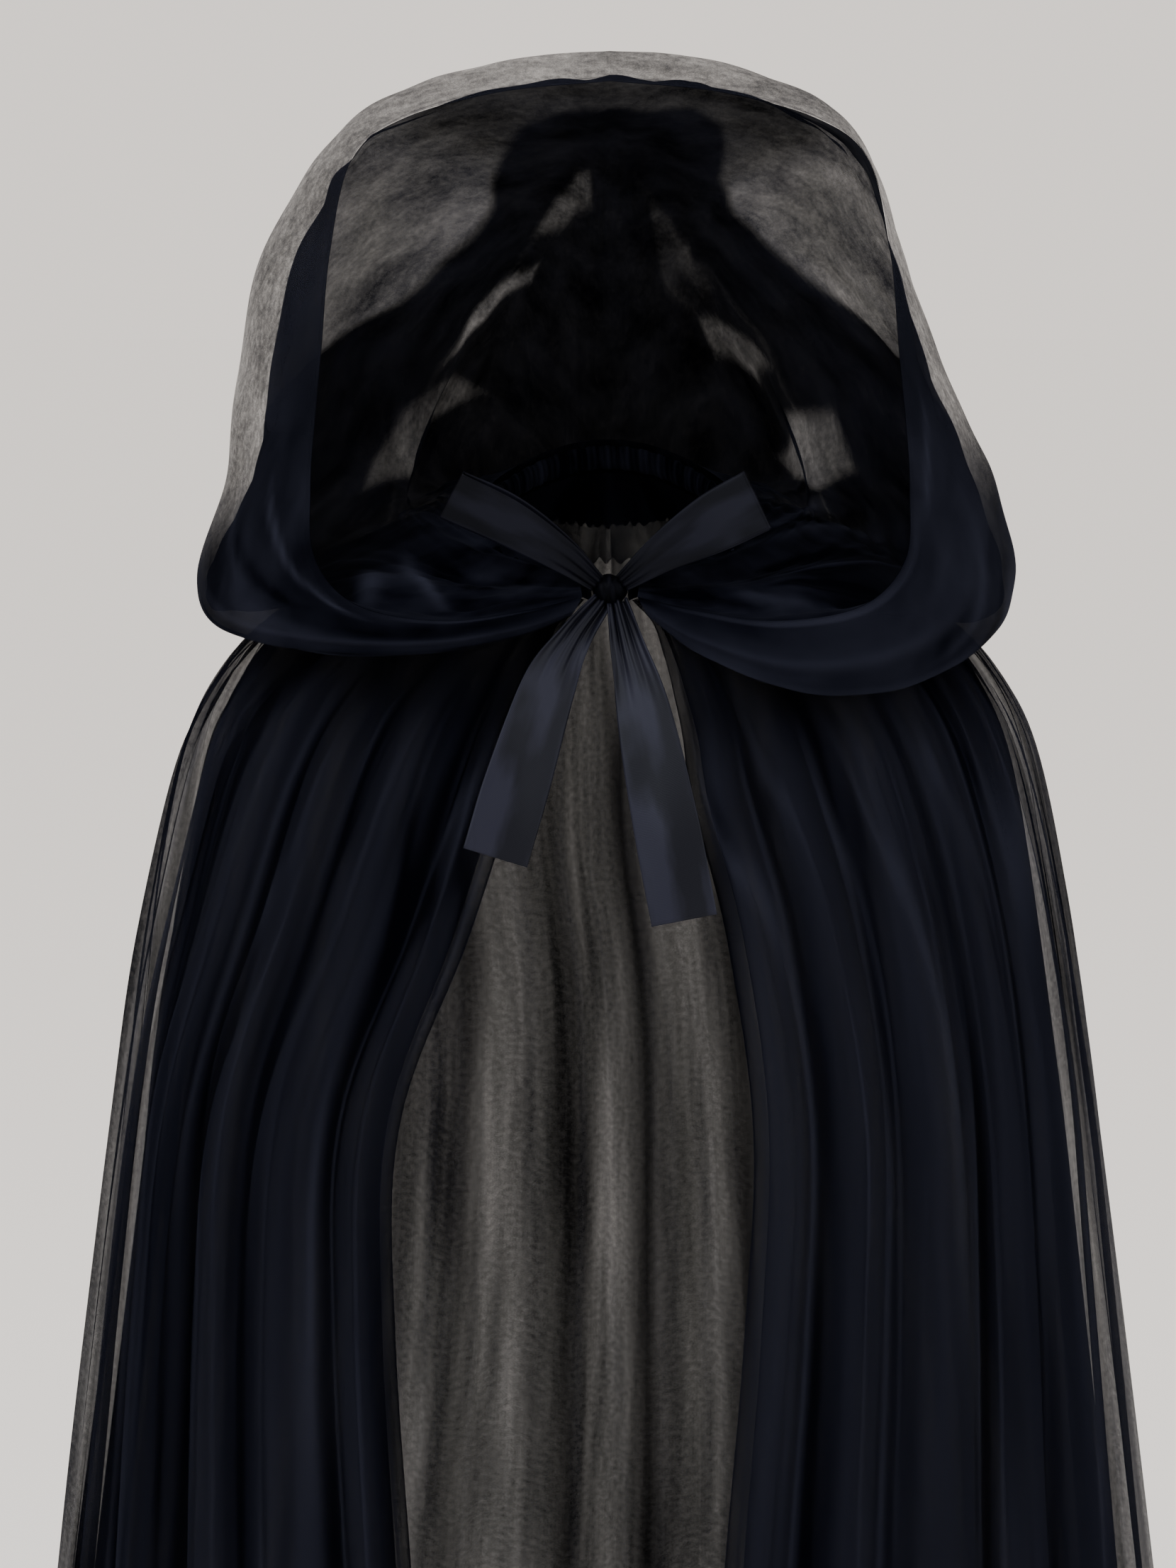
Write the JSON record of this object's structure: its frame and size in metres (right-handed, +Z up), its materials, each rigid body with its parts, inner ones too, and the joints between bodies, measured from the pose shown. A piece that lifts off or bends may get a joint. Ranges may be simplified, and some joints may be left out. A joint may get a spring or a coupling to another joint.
{
  "type": "hooded cloak",
  "caption": "Floor-length hooded cloak of layered sheer net, open down the front, with a wide gathered hood that falls forward as a cowl and a ruched neck tied with a satin ribbon bow.",
  "frame": {"origin": "middle of the neck ring, level with the sides of the neck", "axes": "+Z up through the hood, -Y towards the open front, +X to the right of a viewer who faces the front"},
  "size_m": [0.8602, 0.5804, 1.6727],
  "materials": {
    "net": "sheer fine black net",
    "satin": "black satin ribbon"
  },
  "bodies": {
    "root": {"cape_outer": "net", "cape_inner": "net", "hood_outer": "net", "hood_lining": "net", "neck_casing": "net", "bow_knot": "satin", "bow_loop_left": "satin", "bow_loop_right": "satin", "ribbon_tail_left": "satin", "ribbon_tail_right": "satin"}
  },
  "joints": []
}
